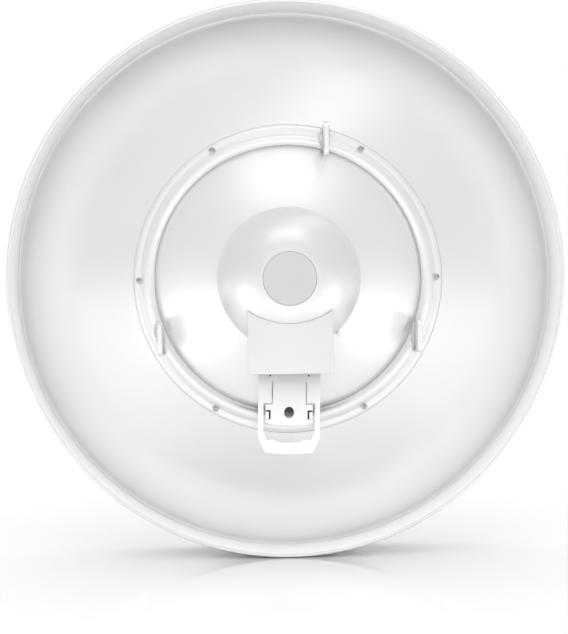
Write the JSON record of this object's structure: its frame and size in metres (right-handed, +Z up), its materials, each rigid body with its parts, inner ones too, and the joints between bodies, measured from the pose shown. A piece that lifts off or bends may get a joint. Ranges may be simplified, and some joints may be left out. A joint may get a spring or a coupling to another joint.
{
  "type": "parabolic dish antenna",
  "caption": "Deep round parabolic dish antenna with a rear skirt, a tubular mounting ring with welded lugs, a domed radio housing and a latch below it.",
  "frame": {"origin": "on the flat left face of the top lug, just above its bolt hole, where the pole bracket's arm bolts on", "axes": "+Y along the dish axis towards the far end of the link, +Z up, +X to the right as seen from behind the dish"},
  "size_m": [0.7296, 0.2381, 0.7296],
  "materials": {
    "outer_bowl": "satin white powder coat",
    "centre_reflector": "satin white powder coat",
    "rim_skirt": "satin white powder coat",
    "rim_roll": "satin white powder coat",
    "front_bead": "satin white powder coat",
    "ring_flange": "satin white powder coat",
    "ring_tube": "satin white powder coat",
    "lug_top": "satin white powder coat",
    "lug_left": "satin white powder coat",
    "lug_right": "satin white powder coat",
    "rear_housing": "semi-gloss white moulding",
    "housing_disc": "matt light grey moulding",
    "housing_tab": "matt light grey moulding",
    "neck_cover": "semi-gloss white moulding",
    "neck_base": "semi-gloss white moulding",
    "port_block": "matt black moulding",
    "latch_frame": "semi-gloss white moulding",
    "latch_tongue": "semi-gloss white moulding",
    "catch_left": "semi-gloss white moulding",
    "catch_right": "semi-gloss white moulding",
    "feed_collar": "semi-gloss white moulding",
    "feed_tube": "semi-gloss white moulding",
    "feed_cone": "matt light grey moulding",
    "splash_plate": "bare machined",
    "feed_cap": "semi-gloss white moulding"
  },
  "bodies": {
    "root": {"outer_bowl": "outer_bowl", "centre_reflector": "centre_reflector", "rim_skirt": "rim_skirt", "rim_roll": "rim_roll", "front_bead": "front_bead", "ring_flange": "ring_flange", "ring_tube": "ring_tube", "lug_top": "lug_top", "lug_left": "lug_left", "lug_right": "lug_right", "rear_housing": "rear_housing", "housing_disc": "housing_disc", "housing_tab": "housing_tab", "neck_cover": "neck_cover", "neck_base": "neck_base", "port_block": "port_block", "latch_frame": "latch_frame", "latch_tongue": "latch_tongue", "catch_left": "catch_left", "catch_right": "catch_right", "feed_collar": "feed_collar", "feed_tube": "feed_tube", "feed_cone": "feed_cone", "splash_plate": "splash_plate", "feed_cap": "feed_cap"}
  },
  "joints": []
}
